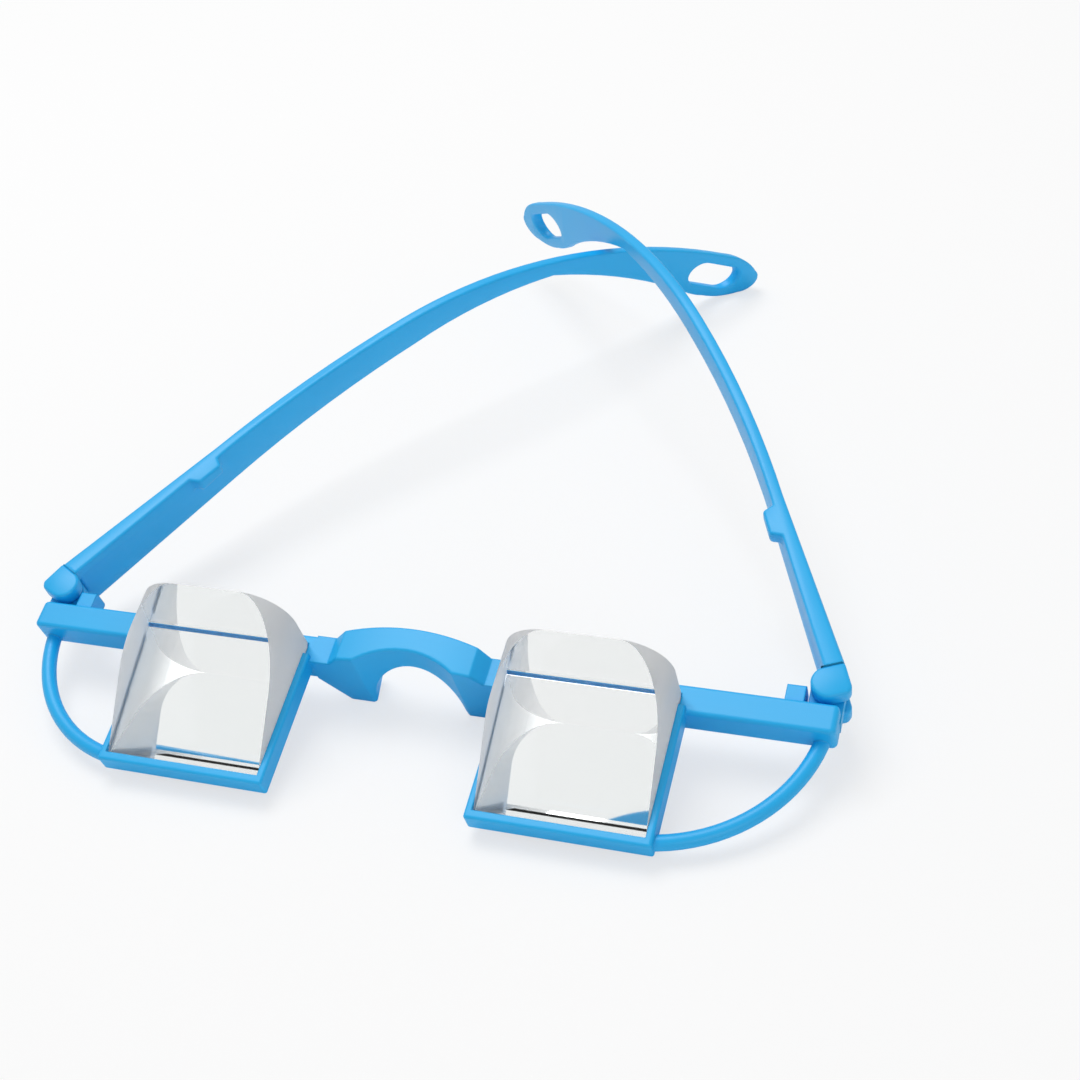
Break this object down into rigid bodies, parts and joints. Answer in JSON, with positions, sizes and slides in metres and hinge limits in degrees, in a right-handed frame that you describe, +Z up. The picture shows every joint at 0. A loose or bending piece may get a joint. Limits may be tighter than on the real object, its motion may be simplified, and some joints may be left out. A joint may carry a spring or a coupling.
{
  "type": "belay prism glasses",
  "caption": "Blue belay glasses with clear mirrored prisms under a wide front and hinged arms folded behind.",
  "frame": {"origin": "centre of the bounding box on the floor plane, with the glasses lying folded on their two nose pads and the tip of the lower arm", "axes": "+X towards the wearer's left, +Y from the front edge back towards the wearer's ears, +Z up"},
  "size_m": [0.1472, 0.174, 0.0346],
  "materials": {
    "blue_plastic": "satin moulded, even sky blue",
    "prism_glass": "polished front, rear and under faces, with ground sides",
    "mirror": "silvered",
    "bed": "matt",
    "screw_steel": "turned",
    "brass": "turned"
  },
  "bodies": {
    "front": {"front_frame": "blue_plastic", "prism_left": "prism_glass", "prism_right": "prism_glass", "mirror_coat_left": "mirror", "mirror_coat_right": "mirror", "prism_bed_left": "bed", "prism_bed_right": "bed"},
    "left_arm": {"arm_left": "blue_plastic", "hinge_screw_left": "screw_steel", "hinge_insert_left": "brass"},
    "right_arm": {"arm_right": "blue_plastic", "hinge_screw_right": "screw_steel", "hinge_insert_right": "brass"}
  },
  "joints": [
    {"name": "left_hinge", "type": "hinge", "parent": "front", "child": "left_arm", "pos_m": [0.06973, -0.05588, 0.01394], "axis": [0.0523, -0.3018, 0.9519], "range_deg": [-24.1, 1.5]},
    {"name": "right_hinge", "type": "hinge", "parent": "front", "child": "right_arm", "pos_m": [-0.06927, -0.05588, 0.01394], "axis": [-0.0523, 0.3018, -0.9519], "range_deg": [0, 50]}
  ]
}
